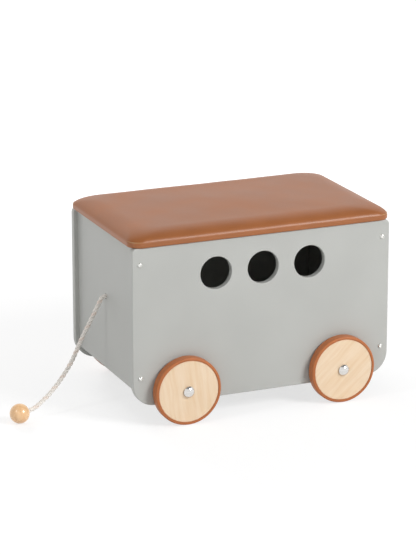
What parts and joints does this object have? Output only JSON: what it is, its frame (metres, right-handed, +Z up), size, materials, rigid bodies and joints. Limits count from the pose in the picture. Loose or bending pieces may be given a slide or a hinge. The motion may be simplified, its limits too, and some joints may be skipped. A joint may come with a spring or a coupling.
{
  "type": "wheeled toy box",
  "caption": "Painted wooden toy box on free-turning rubber-tyred wheels, with round windows, a padded lift-off lid and a pull cord ending in a wooden ball.",
  "frame": {"origin": "on the floor under the middle of the box, level with the lowest points of the four tyres", "axes": "+X along the length towards the end panel without the cord, +Y from the front panel to the back panel, +Z up"},
  "size_m": [0.8351, 0.4346, 0.4263],
  "materials": {
    "grey_paint": "satin grey paint on board",
    "zinc_steel": "bright zinc",
    "steel_rod": "drawn rod",
    "beech": "plain",
    "birch": "clear satin lacquer",
    "brown_rubber": "smooth, soft sheen",
    "nylon": "natural",
    "chrome_cap": "bright",
    "lid_mdf": "raw board",
    "foam": "open-cell foam",
    "tan_leatherette": "smooth, fine grain, soft sheen",
    "dust_cloth": "non-woven",
    "pine": "planed",
    "cotton_cord": "twisted cotton",
    "ball_wood": "clear gloss lacquer"
  },
  "bodies": {
    "box": {"front_panel": "grey_paint", "back_panel": "grey_paint", "left_end_panel": "grey_paint", "right_end_panel": "grey_paint", "bottom_panel": "grey_paint", "front_bolts": "zinc_steel", "back_bolts": "zinc_steel", "barrel_nuts": "zinc_steel", "corner_dowels": "beech", "left_axle": "steel_rod", "right_axle": "steel_rod", "front_left_bush": "nylon", "front_left_washer": "zinc_steel", "front_left_hub_cap": "chrome_cap", "back_left_bush": "nylon", "back_left_washer": "zinc_steel", "back_left_hub_cap": "chrome_cap", "front_right_bush": "nylon", "front_right_washer": "zinc_steel", "front_right_hub_cap": "chrome_cap", "back_right_bush": "nylon", "back_right_washer": "zinc_steel", "back_right_hub_cap": "chrome_cap", "cord_knot": "cotton_cord", "pull_cord": "cotton_cord", "pull_ball": "ball_wood"},
    "front_left_wheel": {"front_left_disc": "birch", "front_left_tyre": "brown_rubber"},
    "back_left_wheel": {"back_left_disc": "birch", "back_left_tyre": "brown_rubber"},
    "front_right_wheel": {"front_right_disc": "birch", "front_right_tyre": "brown_rubber"},
    "back_right_wheel": {"back_right_disc": "birch", "back_right_tyre": "brown_rubber"},
    "lid": {"lid_board": "lid_mdf", "lid_foam": "foam", "lid_cover": "tan_leatherette", "lid_dust_cover": "dust_cloth", "front_batten": "pine", "back_batten": "pine", "left_batten": "pine", "right_batten": "pine", "batten_screws": "zinc_steel", "cover_staples": "zinc_steel"}
  },
  "joints": [
    {"name": "front_left_wheel_spin", "type": "hinge", "parent": "box", "child": "front_left_wheel", "pos_m": [-0.1825, -0.199, 0.075], "axis": [0, 1, 0], "continuous": true},
    {"name": "back_left_wheel_spin", "type": "hinge", "parent": "box", "child": "back_left_wheel", "pos_m": [-0.1825, 0.199, 0.075], "axis": [0, 1, 0], "continuous": true},
    {"name": "front_right_wheel_spin", "type": "hinge", "parent": "box", "child": "front_right_wheel", "pos_m": [0.1825, -0.199, 0.075], "axis": [0, 1, 0], "continuous": true},
    {"name": "back_right_wheel_spin", "type": "hinge", "parent": "box", "child": "back_right_wheel", "pos_m": [0.1825, 0.199, 0.075], "axis": [0, 1, 0], "continuous": true},
    {"name": "lid_lift", "type": "slide", "parent": "box", "child": "lid", "axis": [0, 0, 1], "range_m": [0, 0.35]}
  ]
}
